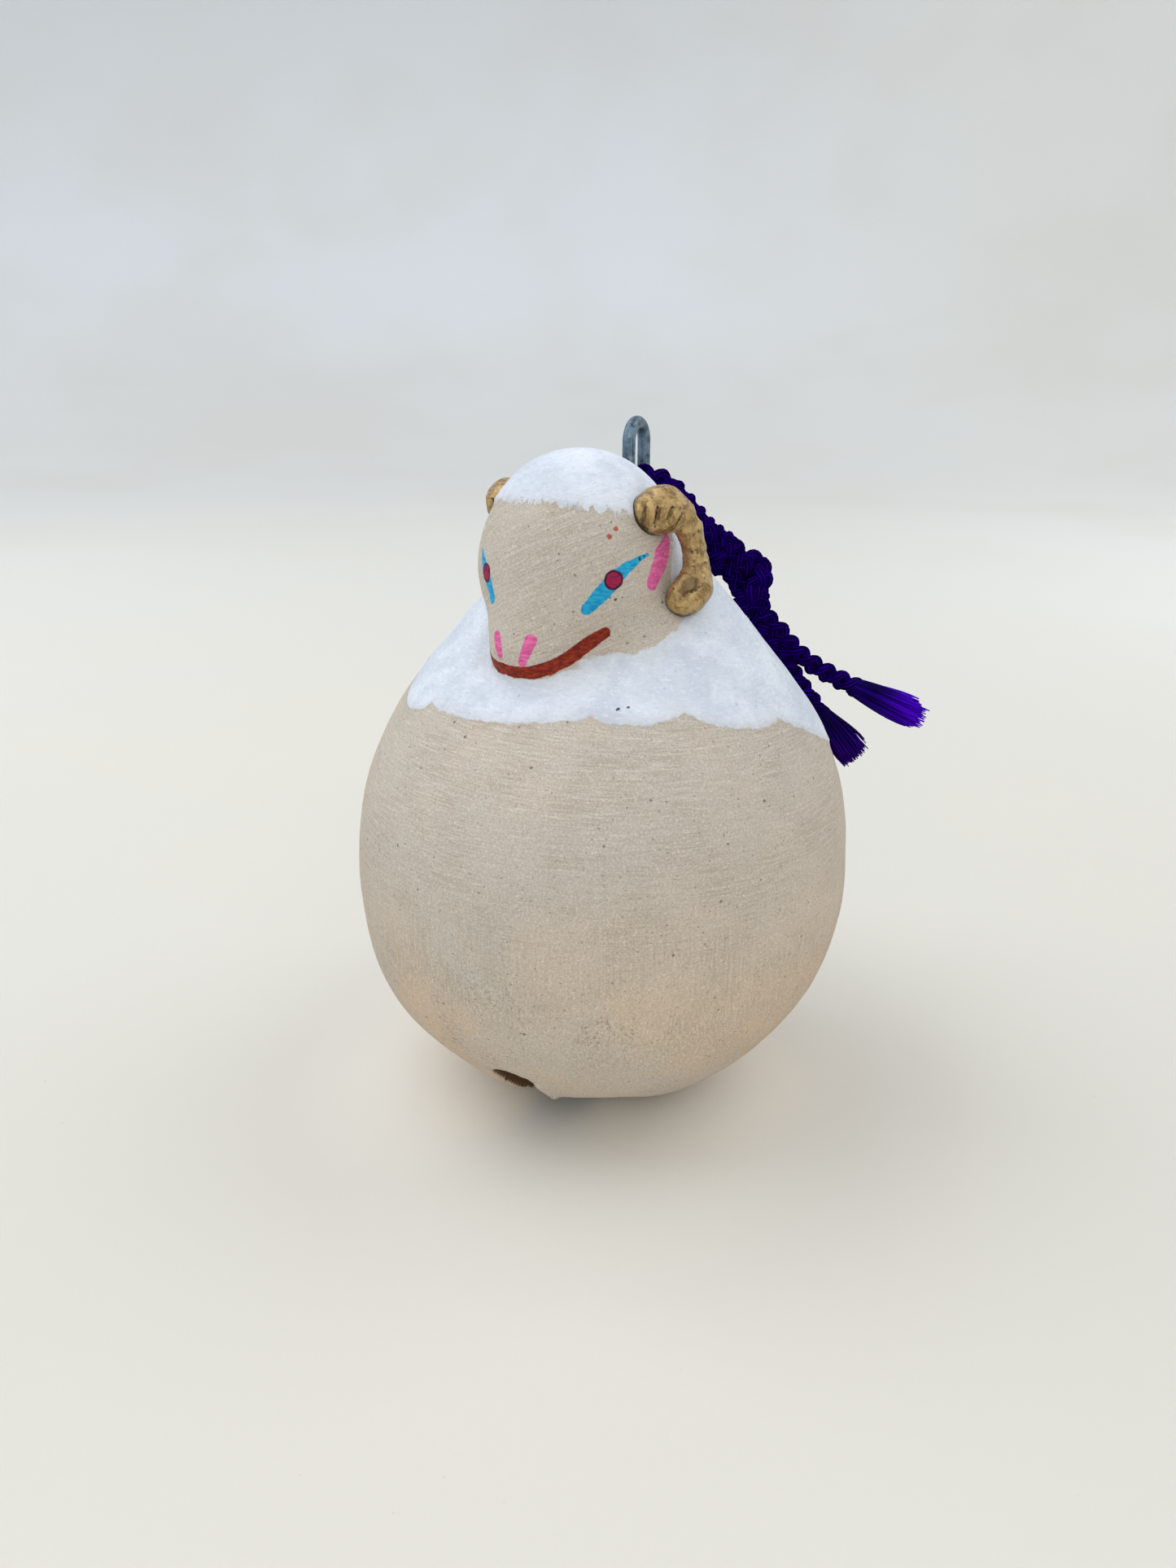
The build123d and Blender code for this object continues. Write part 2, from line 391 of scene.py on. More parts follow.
def tuft_material(name, root_low, root_high, tip_low, tip_high):
    """Yarn that goes from the root's two shades to the tip's two shades."""
    m = Nodes(name, Specular_IOR_Level=0.03)
    along, across = m.attribute("along"), m.attribute("across")
    pick = m.noise(m.join(m.math("MULTIPLY", across, 3.1), m.math("MULTIPLY", along, 0.12), 0.0),
                   1.0, 2.0, 0.6)
    root = m.mix(m.step(pick, 0.34, 0.62), rgb(*root_low), rgb(*root_high))
    # painted highlight: the tip's brighter colour stands for sheen on some of the fibres
    tip = m.mix(m.step(pick, 0.3, 0.66), rgb(*tip_low), rgb(*tip_high))
    color = m.mix(m.step(along, 2.0, 9.0), root, tip)
    return m.finish(color, m.step(pick, 0.2, 0.8, 0.5, 0.75), pick, 0.4, 0.0001)


# one yarn in two copies: lit for the tuft that sticks out, and darker with painted shade for the
# tuft that hangs down against the body
FRINGE_LIT = tuft_material("purple_fringe_lit", (5, 0, 50), (34, 0, 120), (30, 0, 136),
                           (98, 0, 236))
FRINGE_SHADED = tuft_material("purple_fringe_shaded", (3, 0, 34), (18, 0, 78), (10, 0, 62),
                            (62, 0, 150))
tuft_a = put(tuft("cord_fringe_out", END_OUT[-1], END_OUT[-2], TUFT_OUT_TIP, 3.7, 1.6, 11),
             FRINGE_LIT)
tuft_b = put(tuft("cord_fringe_down", END_DOWN[-1], END_DOWN[-2], TUFT_DOWN_TIP, 3.4, 1.5, 12),
             FRINGE_SHADED)
for piece, nodes in ((cord_a, ("cord_leg_left", "cord_end_out", "cord_knot")),
                     (cord_b, ("cord_leg_right", "cord_end_down")),
                     (tuft_a, ("cord_tuft_out",)), (tuft_b, ("cord_tuft_down",))):
    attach(piece, "cord")
    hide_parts(*nodes)

# ------------------------------------------------------------------ clay body, as a solid field
# belly and neck: height, half width across, half width front to back, shift backwards
SECTIONS = np.array([
    (0.0, 9.8, 9.8, 0.0), (2.0, 13.7, 13.7, 0.0), (5.0, 17.8, 17.8, 0.0),
    (10.0, 22.7, 22.7, 0.0), (16.5, 27.2, 27.2, 0.0), (24.5, 29.6, 29.6, 0.0),
    (32.5, 30.0, 29.9, 0.0), (42.0, 28.6, 27.6, 0.1), (50.0, 25.3, 22.4, 0.3),
    (58.0, 19.5, 14.7, 0.8), (65.8, 12.0, 9.3, 1.3), (71.2, 7.4, 6.2, 1.6),
    (74.0, 3.4, 3.0, 1.6)])
PEAR_TOP = 74.0
BOWL_Z, BOWL_R = 30.2, 26.7
NECK_Z, HOLLOW_TOP = 44.0, 61.0
CROWN, CROWN_R = np.array((0.0, -4.3, 68.5)), 10.68
MUZZLE, MUZZLE_R = np.array((0.0, -12.5, 58.9)), 5.3


def smin(a, b, k):
    h = np.clip(0.5 + 0.5 * (b - a) / k, 0, 1)
    return b + (a - b) * h - k * h * (1 - h)


def smax(a, b, k):
    return -smin(-a, -b, k)


def hermite(t, ts, ys):
    m = np.gradient(ys, ts)
    i = np.clip(np.searchsorted(ts, t) - 1, 0, len(ts) - 2)
    h = ts[i + 1] - ts[i]
    u = np.clip((t - ts[i]) / h, 0, 1)
    return ((2 * u**3 - 3 * u**2 + 1) * ys[i] + (u**3 - 2 * u**2 + u) * h * m[i]
            + (3 * u**2 - 2 * u**3) * ys[i + 1] + (u**3 - u**2) * h * m[i + 1])


ZT = np.linspace(0, PEAR_TOP, 1481)
AT, BT, CT = (hermite(ZT, SECTIONS[:, 0], SECTIONS[:, j]) for j in (1, 2, 3))
GT = 1 / np.sqrt(1 + np.gradient((AT + BT) / 2, ZT) ** 2)
# the hollow above the bowl: heights and radii
NECK_HEIGHTS = np.array((NECK_Z, 47.0, 50.6, 54.5, 58.4, 60.3, HOLLOW_TOP))
NECK_RADII = np.array((22.9, 20.6, 17.4, 13.3, 9.0, 5.0, 0.0))


def rod(x, y, z, a, b, ra, rb):
    a, b = np.array(a, float), np.array(b, float)
    ab = b - a
    h = np.clip(((x - a[0]) * ab[0] + (y - a[1]) * ab[1] + (z - a[2]) * ab[2]) / (ab @ ab), 0, 1)
    d = np.sqrt((x - a[0] - h * ab[0]) ** 2 + (y - a[1] - h * ab[1]) ** 2
                + (z - a[2] - h * ab[2]) ** 2)
    return d - (ra + (rb - ra) * h)


def pear(x, y, z):
    a, b, c, g = (np.interp(z, ZT, t) for t in (AT, BT, CT, GT))
    rho = np.sqrt((x / a) ** 2 + ((y - c) / b) ** 2)
    side = (rho - 1) * np.sqrt(a * b) * g
    # pressed by hand: a little fuller low on one side, and the foot flattened at the front
    lean = np.maximum(-(x * 0.81 + y * 0.59) / (np.hypot(x, y) + 1e-6), 0)
    side = side - 0.8 * np.exp(-((z - 12.5) / 9.0) ** 2) * lean ** 3
    side = smax(side, 0.320 * x - 0.441 * y - 0.839 * z - 4.78, 0.5)
    return smax(smax(side, -z, 1.2), z - PEAR_TOP, 1.0)


def egg(x, y, z):
    """Round crown and smaller round muzzle with the cone between them."""
    ba = MUZZLE - CROWN
    l2 = ba @ ba
    rr = CROWN_R - MUZZLE_R
    a2 = l2 - rr * rr
    px, py, pz = x - CROWN[0], y - CROWN[1], z - CROWN[2]
    yy = px * ba[0] + py * ba[1] + pz * ba[2]
    zz = yy - l2
    x2 = ((px * l2 - ba[0] * yy) ** 2 + (py * l2 - ba[1] * yy) ** 2
          + (pz * l2 - ba[2] * yy) ** 2)
    y2, z2 = yy * yy * l2, zz * zz * l2
    k = np.sign(rr) * rr * rr * x2
    return np.where(np.sign(zz) * a2 * z2 > k, np.sqrt(x2 + z2) / l2 - MUZZLE_R,
                    np.where(np.sign(yy) * a2 * y2 < k, np.sqrt(x2 + y2) / l2 - CROWN_R,
                             (np.sqrt(x2 * a2 / l2) + yy * rr) / l2 - CROWN_R))


def cheeks(x, y, z):
    return np.sqrt(np.maximum(np.abs(x) - 0.95, 0) ** 2 + (y + 5.1) ** 2 + (z - 66.5) ** 2) - 10.3


def outer(x, y, z):
    return smin(pear(x, y, z), smin(egg(x, y, z), cheeks(x, y, z), 1.0), 1.2)


def hollow(x, y, z):
    """The round bowl that the pellet rolls in, and the cone above it."""
    bowl = np.sqrt(x * x + y * y + (z - BOWL_Z) ** 2) - BOWL_R
    r = np.where(z < NECK_Z, BOWL_R, np.interp(z, NECK_HEIGHTS, NECK_RADII))
    neck = np.maximum((np.hypot(x, y) - r) * 0.72, z - HOLLOW_TOP)
    return np.where(z < NECK_Z, bowl, neck)


SLOT_TURN = math.radians(8.0)
SLOT_COS, SLOT_SIN = math.cos(SLOT_TURN), math.sin(SLOT_TURN)
SLOT_SHIFT, SLOT_FRONT, SLOT_BACK = 0.35, -21.2, 20.8
SLOT_HALF, SLOT_TOP = 3.0, 18.0


def sound_slot(x, y, z):
    """The slot is cut by hand, a few degrees off the line of the head."""
    xs, ys = x * SLOT_COS + y * SLOT_SIN - SLOT_SHIFT, y * SLOT_COS - x * SLOT_SIN
    yy = ys - np.clip(ys, SLOT_FRONT, SLOT_BACK)
    return np.maximum(np.hypot(xs, yy) - SLOT_HALF, z - SLOT_TOP)


def slot_burr(x, y, z):
    """Clay pushed up along one lip of the slot, thickest where the lip reaches the foot."""
    return rod(x, y, z, (6.9, -22.0, 10.3), (6.25, -18.6, 6.75), 0.25, 0.52)


def body_field(x, y, z):
    f = smin(outer(x, y, z), slot_burr(x, y, z), 0.9)
    f = smax(f, -hollow(x, y, z), 0.6)
    return smax(f, -sound_slot(x, y, z), 0.7)


def surface_net(field, low, high, pitch):
    """Quad mesh of field = 0 over a box, its vertices then moved onto the surface."""
    ax = [np.arange(a, b + pitch, pitch) for a, b in zip(low, high)]
    shape = tuple(len(a) for a in ax)
    f = np.empty(shape, np.float32)
    for i, x in enumerate(ax[0]):
        yy, zz = np.meshgrid(ax[1], ax[2], indexing="ij")
        f[i] = field(np.full_like(yy, x), yy, zz)
    inside = f < 0
    cells = tuple(s - 1 for s in shape)
    total = np.zeros((*cells, 3), np.float32)
    count = np.zeros(cells, np.int16)
    corners = [(a, b, c) for a in (0, 1) for b in (0, 1) for c in (0, 1)]
    for p in corners:
        for axis in range(3):
            if p[axis]:
                continue
            q = tuple(v + (1 if k == axis else 0) for k, v in enumerate(p))
            sp = tuple(slice(v, v + n) for v, n in zip(p, cells))
            sq = tuple(slice(v, v + n) for v, n in zip(q, cells))
            cross = inside[sp] != inside[sq]
            fa, fb = f[sp][cross], f[sq][cross]
            t = fa / (fa - fb)
            point = np.tile(np.array(p, np.float32), (len(t), 1))
            point[:, axis] = t
            total[cross] += point
            count[cross] += 1
    used = count > 0
    index = np.full(cells, -1, np.int64)
    index[used] = np.arange(used.sum())
    where = np.argwhere(used)
    verts = (where + total[used] / count[used][:, None]) * pitch + np.array(low)
    faces = []
    for axis in range(3):
        b, c = (axis + 1) % 3, (axis + 2) % 3
        first = [slice(None)] * 3
        second = [slice(None)] * 3
        first[axis], second[axis] = slice(0, -1), slice(1, None)
        for d in (b, c):
            first[d] = second[d] = slice(1, -1)
        ia, ib = inside[tuple(first)], inside[tuple(second)]
        for mask, flip in ((ia & ~ib, False), (~ia & ib, True)):
            g = np.argwhere(mask)
            g[:, b] += 1
            g[:, c] += 1

            def cell(db, dc):
                h = g.copy()
                h[:, b] -= db
                h[:, c] -= dc
                return index[h[:, 0], h[:, 1], h[:, 2]]
            quad = np.stack([cell(1, 1), cell(0, 1), cell(0, 0), cell(1, 0)], 1)
            faces.append(quad[:, ::-1] if flip else quad)
    faces = np.vstack(faces)
    for _ in range(3):
        verts = onto(field, verts)
    return verts, faces


def gradient(field, v, e=0.04):
    x, y, z = v.T
    return np.stack([field(x + e, y, z) - field(x - e, y, z),
                     field(x, y + e, z) - field(x, y - e, z),
                     field(x, y, z + e) - field(x, y, z - e)], 1) / (2 * e)


def unit_normals(field, v):
    g = gradient(field, v)
    return g / np.maximum(np.linalg.norm(g, axis=1), 1e-6)[:, None]


def onto(field, v):
    """One step of each point towards the surface field = 0."""
    g = gradient(field, v)
    s = field(*v.T) / np.maximum((g * g).sum(1), 0.05)
    return v - g * np.clip(s, -0.5, 0.5)[:, None]


def ripple(v, seed, size, octaves=4):
    """Smooth hand-made unevenness, about -1 to 1, with bumps about size mm across."""
    rng = np.random.default_rng(seed)
    out, norm = np.zeros(len(v)), 0.0
    for o in range(octaves):
        amp = 0.6 ** o
        for _ in range(5):
            k = rng.normal(size=3)
            k *= (2 * math.pi / (size * 0.62 ** o)) / np.linalg.norm(k)
            out += amp * np.sin(v @ k + rng.uniform(0, 6.28)) / 2.2
        norm += amp
    return out / norm


# white wool: lower edge as (direction round the body in degrees from the front, height,
# sag of the scallop that follows), then the outline of the bare face and throat, (y, z)
SCALLOPS = [(-184, 47.5, 1.4), (-150, 50.5, 1.3), (-122, 51.5, 1.5), (-94, 52.6, 1.5),
            (-64, 54.4, 2.6), (-31, 51.9, 0.8), (32, 53.6, 0.95), (59, 54.1, 1.15),
            (87, 52.1, 0.35), (118, 45.8, 1.4), (146, 48.5, 1.6), (184, 47.5, 0.0)]
BARE_LEFT = [(-30, 76.5), (-13.3, 74.3), (-9.6, 73.5), (-6.8, 72.6), (-3.6, 72.3), (-1.9, 71.0),
             (-2.0, 69.0), (-2.9, 66.8), (-3.4, 64.5), (-3.8, 62.5), (-5.9, 61.2), (-7.3, 60.5),
             (-9.0, 59.6), (-10.1, 59.0), (-10.9, 59.25), (-11.6, 59.0), (-13.1, 58.05),
             (-14.5, 57.0), (-16.0, 56.3), (-30, 55.8)]
BARE_RIGHT = [(-30, 76.5), (-13.3, 74.3), (-9.6, 73.4), (-6.8, 72.4), (-3.4, 71.8), (-1.8, 70.2),
              (-1.6, 67.5), (-2.6, 65.2), (-3.9, 64.1), (-5.9, 63.0), (-8.0, 62.3), (-10.4, 61.4),
              (-12.0, 60.2), (-13.1, 59.0), (-14.5, 57.6), (-16.0, 56.5), (-30, 55.8)]


def outside_outline(y, z, outline):
    """Distance out of a closed outline in the side view, negative inside."""
    pts = np.array(outline, float)
    best = np.full(len(y), 1e9)
    inside = np.zeros(len(y), bool)
    for (y0, z0), (y1, z1) in zip(pts, np.roll(pts, -1, axis=0)):
        dy, dz = y1 - y0, z1 - z0
        t = np.clip(((y - y0) * dy + (z - z0) * dz) / (dy * dy + dz * dz), 0, 1)
        best = np.minimum(best, np.hypot(y - y0 - t * dy, z - z0 - t * dz))
        if abs(dz) > 1e-9:
            hit = ((z0 > z) != (z1 > z)) & (y < y0 + (z - z0) / dz * dy)
            inside ^= hit
    return np.where(inside, -best, best)


def wool_field(v):
    """Distance in mm into the white wool, negative on the bare clay."""
    x, y, z = v.T
    turn = np.degrees(np.arctan2(x, -y))
    edge = np.zeros(len(v))
    for (a0, z0, sag), (a1, z1, _) in zip(SCALLOPS, SCALLOPS[1:]):
        t = np.clip((turn - a0) / (a1 - a0), 0, 1)
        use = (turn >= a0) & (turn <= a1)
        edge = np.where(use, z0 + (z1 - z0) * t - sag * (4 * t * (1 - t)) ** 0.62, edge)
    low = (z - edge) * 1.15
    bare = np.where(x >= 0, outside_outline(y, z, BARE_LEFT), outside_outline(y, z, BARE_RIGHT))
    return np.minimum(low, bare)


PITCH = 0.5
verts, faces = surface_net(body_field, (-31.5, -31.5, -1.2), (31.5, 31.5, 81.0), PITCH)
skin = outer(*verts.T) > -0.35
wool = np.clip(wool_field(verts), -4, 4)
normal = unit_normals(body_field, verts)
wool_in = np.clip((wool + 0.15) / 0.55, 0, 1)
lift = (0.17 * wool_in * wool_in * (3 - 2 * wool_in)
        + 0.05 * np.exp(-((wool - 0.25) / 0.35) ** 2)
        + 0.10 * ripple(verts, 3, 17.0, 3) + 0.02 * ripple(verts, 5, 3.0, 3))
lift = np.where(skin, lift - 0.06, 0.05 * ripple(verts, 9, 9.0))
lift *= np.clip(verts[:, 2] / 1.5, 0, 1)
verts = verts + normal * lift[:, None]
verts[:, 2] = np.maximum(verts[:, 2], 0.0)
body = mesh_object("clay_body", verts, faces,
                   attributes={"wool": wool, "skin": skin.astype(float)})
print("clay body", len(verts), "vertices")


def on_skin(p):
    """The point of the body's outer surface near p."""
    v = np.array([p], float)
    for _ in range(12):
        v = onto(outer, v)
    return tuple(v[0])


# painted marks, as places on the head: eyes from the inner corner to the tip of the tail
EYES = [[(7.22, -12.93, 63.79), (9.31, -11.11, 66.84), (9.99, -9.85, 67.96), (10.84, -7.02, 69.02)],
        [(-3.75, -15.5, 64.2), (-5.2, -14.6, 66.6), (-5.9, -14.0, 67.7), (-6.7, -13.2, 68.9)]]
# nostrils: from, to, half width at each end
NOSTRILS = [((2.62, -16.88, 60.55), (1.78, -17.4, 58.2), 0.72, 0.5),
            ((-1.9, -17.2, 60.6), (-1.0, -17.7, 58.6), 0.66, 0.5)]
EAR = [(10.7, -3.1, 70.15), (11.13, -4.77, 68.5), (11.15, -6.4, 66.2)]
# mouth: place and half width of the stroke
SMILE = [(-8.2, -10.8, 61.1, 0.5), (-5.6, -14.1, 58.5, 0.66), (-2.9, -16.7, 57.35, 0.76),
         (0.0, -17.45, 57.0, 0.78), (2.41, -16.95, 56.95, 0.80), (4.04, -15.89, 57.37, 0.82),
         (5.67, -14.03, 58.48, 0.80), (6.86, -12.44, 59.74, 0.74), (8.0, -10.85, 61.0, 0.62)]
# slips of the brush: place, radius, ink
DARK_BLUE, DARK, DARK_LOW = (20, 40, 60), (30, 28, 30), (28, 28, 34)
SLIPS = [((10.55, -8.1, 68.6), 0.20, DARK_BLUE), ((10.75, -7.5, 68.85), 0.16, DARK_BLUE),
         ((9.0, -11.34, 64.94), 0.15, DARK), ((9.34, -10.78, 64.63), 0.17, DARK),
         ((9.75, -10.19, 64.84), 0.13, DARK), ((8.60, -9.98, 71.99), 0.26, (178, 72, 70)),
         ((8.5, -10.7, 71.19), 0.30, (172, 66, 66)), ((12.46, -14.7, 54.25), 0.20, DARK_LOW),
         ((13.2, -14.0, 54.48), 0.17, DARK_LOW)]


def clay_material():
    m = Nodes("painted_clay", Roughness=0.9, Specular_IOR_Level=0.25)
    p = m.pos
    x, y, z = m.split(p)

    def wobbled(start, scale, detail, rough, amount):
        shift = m.vec("SUBTRACT", m.noise(p, scale, detail, rough, color=True), (0.5, 0.5, 0.5))
        return m.vec("ADD", start, m.vec("SCALE", shift, amount))

    # hand wobble for everything painted on
    q = wobbled(wobbled(p, 0.55, 2.0, 0.5, 0.55), 3.2, 2.0, 0.6, 0.22)
    # clay ground: a slurry brushed round the belly, up and down towards the foot
    big = m.noise(p, 0.05, 3.0, 0.55)
    grain = m.noise(p, 4.6, 3.0, 0.8)
    round_brush = m.noise(m.vec("MULTIPLY", p, (0.30, 0.30, 6.0)), 1.0, 3.0, 0.6, 0.15)
    down_brush = m.noise(m.vec("MULTIPLY", p, (5.0, 5.0, 0.20)), 1.0, 3.0, 0.6, 0.15)
    slant = m.join(m.math("ADD", m.math("MULTIPLY", x, 0.22), m.math("MULTIPLY", z, 0.14)),
                   m.math("MULTIPLY", y, 0.5),
                   m.math("SUBTRACT", m.math("MULTIPLY", z, 5.4), m.math("MULTIPLY", x, 2.8)))
    face_brush = m.noise(slant, 1.0, 3.0, 0.6, 0.2)
    patchy = m.step(m.noise(p, 0.14, 2.0, 0.5), 0.40, 0.60)
    brush = m.math("ADD", m.math("MULTIPLY", round_brush, m.step(z, 20, 44)),
                   m.math("MULTIPLY", down_brush, m.step(z, 44, 20)))
    brush = m.math("ADD", m.math("MULTIPLY", brush, m.step(z, 60, 56)),
                   m.math("MULTIPLY", face_brush, m.step(z, 56, 60)))
    ground = m.mix(m.step(z, 4, 42), rgb(217, 185, 150), rgb(198, 188, 176))
    ground = m.mix(m.step(big, 0.38, 0.64, 0.0, 0.8), ground, rgb(192, 186, 176))
    ground = m.mix(m.step(m.noise(p, 0.09, 3.0, 0.6), 0.50, 0.74, 0.0, 0.35), ground,
                   rgb(209, 192, 175))
    lines = m.math("MULTIPLY", m.step(brush, 0.62, 0.36),
                   m.math("MULTIPLY_ADD", patchy, 0.38, 0.20))
    ground = m.mix(lines, ground, rgb(168, 156, 140))
    ground = m.mix(m.math("MULTIPLY", m.step(brush, 0.58, 0.76), 0.5), ground, rgb(228, 219, 206))
    ground = m.mix(m.math("MULTIPLY", m.step(grain, 0.50, 0.70), 0.62), ground, rgb(232, 223, 208))
    ground = m.mix(m.math("MULTIPLY", m.step(grain, 0.50, 0.31), 0.56), ground, rgb(164, 150, 132))
    # rubbed, pitted areas low on the belly, and specks everywhere
    rub = m.math("MULTIPLY", m.step(m.noise(p, 0.12, 3.0, 0.6), 0.53, 0.64),
                 m.step(z, 34, 20))
    pit = m.math("MULTIPLY", m.step(m.noise(p, 2.6, 3.0, 0.75), 0.56, 0.63), rub)
    ground = m.mix(m.math("MULTIPLY", pit, 0.7), ground, rgb(136, 120, 100))

    def specks(shift, scale, share, size):
        """Round specks in a share of the cells, each its own size."""
        centre, hue = m.cells(m.vec("ADD", speck_pos, shift), scale)
        by_size, by_share, _ = m.split(hue)
        reach = m.math("MULTIPLY_ADD", by_size, size, size * 0.45)
        return m.math("MULTIPLY", m.step(m.math("SUBTRACT", centre, reach), 0.02, -0.02),
                      m.math("GREATER_THAN", by_share, 1.0 - share))

    speck_pos = wobbled(p, 2.4, 1.0, 0.5, 0.30)
    dot = specks((0, 0, 0), 0.42, 0.72, 0.056)
    dot2 = specks((31, 7, 3), 0.75, 0.75, 0.080)
    dot3 = specks((5, 17, 9), 1.6, 0.60, 0.15)
    ground = m.mix(m.math("MULTIPLY", dot, 0.72), ground, rgb(96, 76, 64))
    ground = m.mix(m.math("MULTIPLY", dot2, 0.65), ground, rgb(120, 96, 82))
    ground = m.mix(m.math("MULTIPLY", dot3, 0.45), ground, rgb(140, 118, 100))
    # white wool
    wool_d = m.attribute("wool")
    rag = m.noise(m.vec("MULTIPLY", p, (1.5, 1.1, 0.30)), 1.0, 3.0, 0.7)
    soft = m.noise(p, 0.9, 3.0, 0.5)
    on_head = m.step(z, 68, 71)
    edge = m.math("ADD", m.math("MULTIPLY", m.math("SUBTRACT", rag, 0.5),
                                m.math("MULTIPLY_ADD", on_head, 3.0, 0.25)),
                  m.math("MULTIPLY", m.math("SUBTRACT", soft, 0.5), 0.7))
    inside = m.math("ADD", wool_d, edge)
    white = m.step(inside, -0.10, 0.14)
    thin = m.step(inside, 0.0, 1.6, 0.20, 0.0)
    wool_c = m.mix(m.step(m.noise(p, 0.16, 3.0, 0.55, 0.3), 0.34, 0.66), rgb(202, 210, 223),
                   rgb(221, 228, 239))
    comb = m.noise(m.vec("MULTIPLY", p, (1.3, 1.3, 3.6)), 1.0, 4.0, 0.7, 0.4)
    wool_c = m.mix(m.step(comb, 0.48, 0.32, 0.0, 0.42), wool_c, rgb(186, 195, 208))
    wool_c = m.mix(m.step(m.math("MULTIPLY_ADD", comb, 0.6, m.math("MULTIPLY", grain, 0.4)),
                          0.51, 0.64, 0.0, 0.55), wool_c, rgb(240, 244, 251))
    wool_c = m.mix(thin, wool_c, ground)
    wool_c = m.mix(m.math("ADD", m.math("MULTIPLY", dot, 0.35), m.math("MULTIPLY", dot2, 0.25)),
                   wool_c, rgb(150, 146, 150))
    color = m.mix(white, ground, wool_c)
    # eyes
    marks = []

    def paint(color, d, soft_edge, ink, alpha=1.0):
        k = m.math("MULTIPLY", m.step(d, soft_edge, -soft_edge), alpha)
        marks.append(k)
        return m.mix(k, color, ink)

    streak = m.noise(m.vec("MULTIPLY", p, (1.1, 1.1, 3.4)), 1.0, 3.0, 0.6)
    blue = m.mix(m.step(streak, 0.35, 0.65), rgb(16, 140, 190), rgb(38, 172, 214))
    for e in ([on_skin(point) for point in eye_line] for eye_line in EYES):
        eye = m.union(m.stroke(q, e[0], e[1], 0.70, 0.98), m.stroke(q, e[1], e[2], 0.98, 0.60),
                      m.stroke(q, e[2], e[3], 0.60, 0.16))
        color = paint(color, eye, 0.05, blue)
        iris = m.math("SUBTRACT", m.vec("LENGTH", m.vec("SUBTRACT", q, e[1])), 1.08)
        color = paint(color, iris, 0.05, rgb(66, 12, 48))
        red = m.mix(m.step(m.noise(p, 2.2, 3.0, 0.6), 0.48, 0.64), rgb(158, 22, 66),
                    rgb(92, 18, 86))
        color = paint(color, m.math("ADD", iris, 0.24), 0.07, red)
    for spot, r, ink in SLIPS:
        d = m.math("SUBTRACT", m.vec("LENGTH", m.vec("SUBTRACT", q, on_skin(spot))), r)
        color = paint(color, d, 0.06, rgb(*ink), 0.9)
    # nostrils, ears, mouth
    pink = m.mix(m.step(streak, 0.36, 0.66), rgb(208, 84, 146), rgb(232, 118, 172))
    nostrils = m.union(*[m.stroke(q, on_skin(a), on_skin(b), ra, rb)
                         for a, b, ra, rb in NOSTRILS])
    color = paint(color, nostrils, 0.06, pink)
    for side in (1, -1):
        top, mid, low = (on_skin((side * a, b, c)) for a, b, c in EAR)
        ear = m.union(m.stroke(q, top, mid, 0.75, 1.32), m.stroke(q, mid, low, 1.32, 0.98))
        color = paint(color, ear, 0.07, pink)
        vein = m.union(m.stroke(q, on_skin((side * 10.95, -4.0, 69.3)), mid, 0.03, 0.10),
                       m.stroke(q, mid, on_skin((side * 11.1, -5.4, 67.5)), 0.10, 0.03))
        color = paint(color, vein, 0.05, rgb(176, 36, 92), 0.8)
    smile = [on_skin(point[:3]) for point in SMILE]
    widths = [point[3] for point in SMILE]
    mouth = m.union(*[m.stroke(q, a, b, ra, rb)
                      for a, b, ra, rb in zip(smile, smile[1:], widths, widths[1:])])
    drag = m.noise(m.vec("MULTIPLY", p, (1.3, 1.3, 3.0)), 1.0, 4.0, 0.65)
    brick = m.mix(m.step(drag, 0.36, 0.66), rgb(104, 26, 12), rgb(158, 52, 28))
    color = paint(color, mouth, 0.06, brick)
    painted = marks[0]
    for k in marks[1:]:
        painted = m.math("MAXIMUM", painted, k)
    # inside is raw clay
    raw = m.mix(m.step(grain, 0.4, 0.7), rgb(88, 66, 44), rgb(118, 90, 62))
    color = m.mix(m.step(m.attribute("skin"), 0.2, 0.8), raw, color)
    pits = m.math("ADD", dot, m.math("MULTIPLY", pit, 0.8))
    coats = m.math("ADD", white, m.math("MULTIPLY", painted, 0.6))
    h = m.math("MULTIPLY", brush, 0.7)
    h = m.math("ADD", h, m.math("MULTIPLY", grain, 0.45))
    h = m.math("SUBTRACT", h, m.math("MULTIPLY", pits, 0.5))
    h = m.math("ADD", h, m.math("MULTIPLY", coats, 0.5))
    rough = m.math("SUBTRACT", m.step(grain, 0.3, 0.7, 0.84, 0.96),
                   m.math("MULTIPLY", painted, 0.22))
    return m.finish(color, rough, h, 0.8, 0.00011)


put(body, clay_material())
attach(body, "bell")
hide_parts("body_shell_front", "body_shell_back")

# ------------------------------------------------------------------ horns
# along the horn: x, y, z, radius; then thick places, and the cup pressed in its lower end
HORN = [(10.9, -4.5, 73.6, 1.60), (12.2, -3.2, 72.8, 1.60), (12.9, -2.3, 71.3, 1.36),
        (13.2, -1.9, 69.7, 1.22), (13.5, -1.8, 68.0, 1.25), (13.8, -2.1, 66.5, 1.50),
        (13.8, -2.8, 65.2, 1.70)]
HORN_LUMPS = [(10.2, -5.4, 73.2, 2.35), (11.0, -4.5, 73.5, 2.50), (13.9, -2.9, 65.0, 2.15),
              (13.3, -3.8, 64.2, 1.95)]
